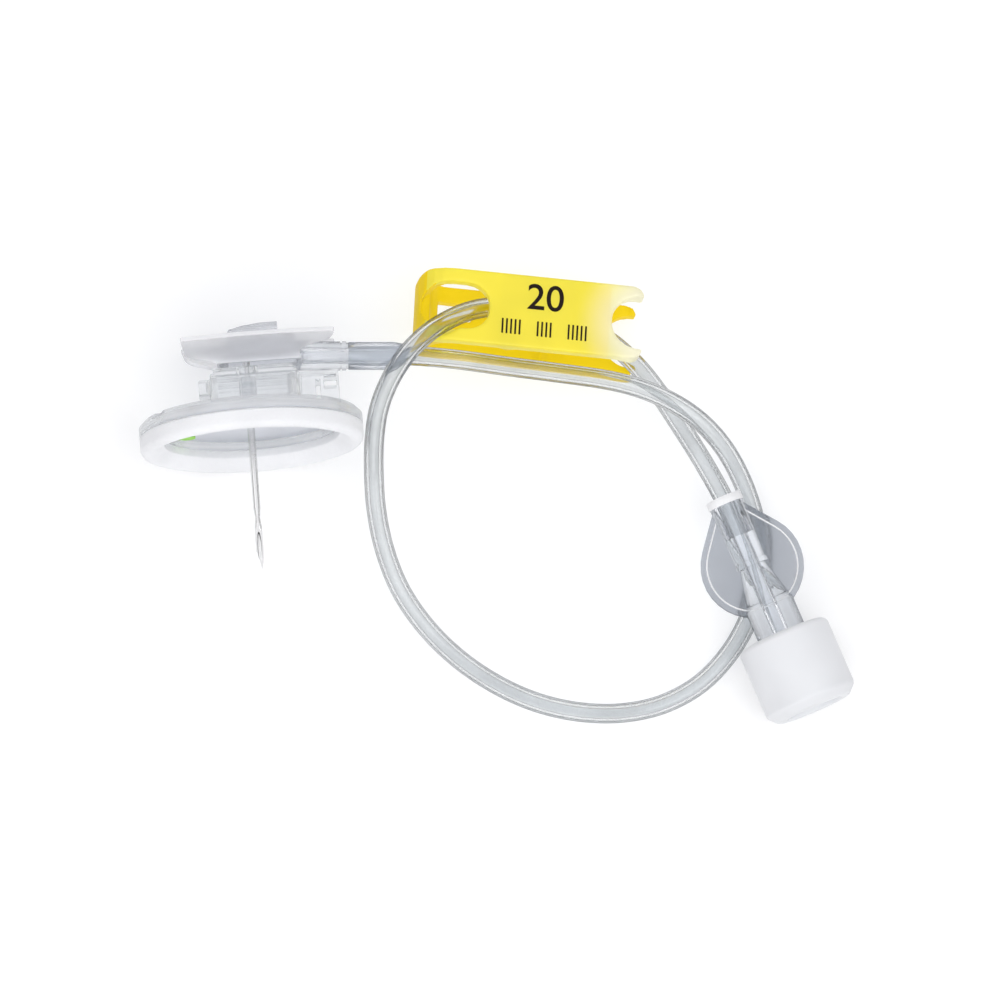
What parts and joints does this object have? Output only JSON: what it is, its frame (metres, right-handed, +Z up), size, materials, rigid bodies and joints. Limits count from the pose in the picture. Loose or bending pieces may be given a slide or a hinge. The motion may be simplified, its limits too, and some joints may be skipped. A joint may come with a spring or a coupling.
{
  "type": "huber needle infusion set",
  "caption": "Safety infusion set: non-coring needle with wings and sliding guard, extension tube with pinch clamp, lock connector and cap, lying as it rests.",
  "frame": {"origin": "on the table, under the middle of the needle head's box, without the tube and what is on it", "axes": "+X the way the tube leaves the needle head, +Y from the needle point to the wings, +Z up from the table"},
  "size_m": [0.0856, 0.0545, 0.0269],
  "materials": {
    "needle_steel": "ground and polished",
    "clear_hub": "clear moulding",
    "frosted_wing": "soft, translucent, satin",
    "sleeve": "soft clear sleeve",
    "clear_guard": "clear moulding",
    "clip_steel": "spring steel",
    "white_pad": "soft white pad",
    "green_dot": "printed",
    "clear_tube": "clear soft tube",
    "yellow_clamp": "translucent yellow",
    "clear_connector": "clear moulding",
    "white_cap": "satin white"
  },
  "bodies": {
    "set": {"needle": "needle_steel", "hub": "clear_hub", "wings": "frosted_wing", "strain_relief": "sleeve", "extension_tube": "clear_tube", "pinch_clamp": "yellow_clamp", "connector": "clear_connector"},
    "guard": {"base_plate": "clear_guard", "guard_housing": "clear_guard", "needle_guide": "clear_guard", "lock_clip": "clip_steel", "comfort_pad": "white_pad", "size_dot": "green_dot"},
    "cap": {"connector_cap": "white_cap"}
  },
  "joints": [
    {"name": "guard_slide", "type": "slide", "parent": "set", "child": "guard", "axis": [0.0728, -0.9919, 0.1045], "range_m": [0, 0.018]},
    {"name": "cap_off", "type": "slide", "parent": "set", "child": "cap", "axis": [0.3939, -0.9191, 0], "range_m": [0, 0.01]}
  ]
}
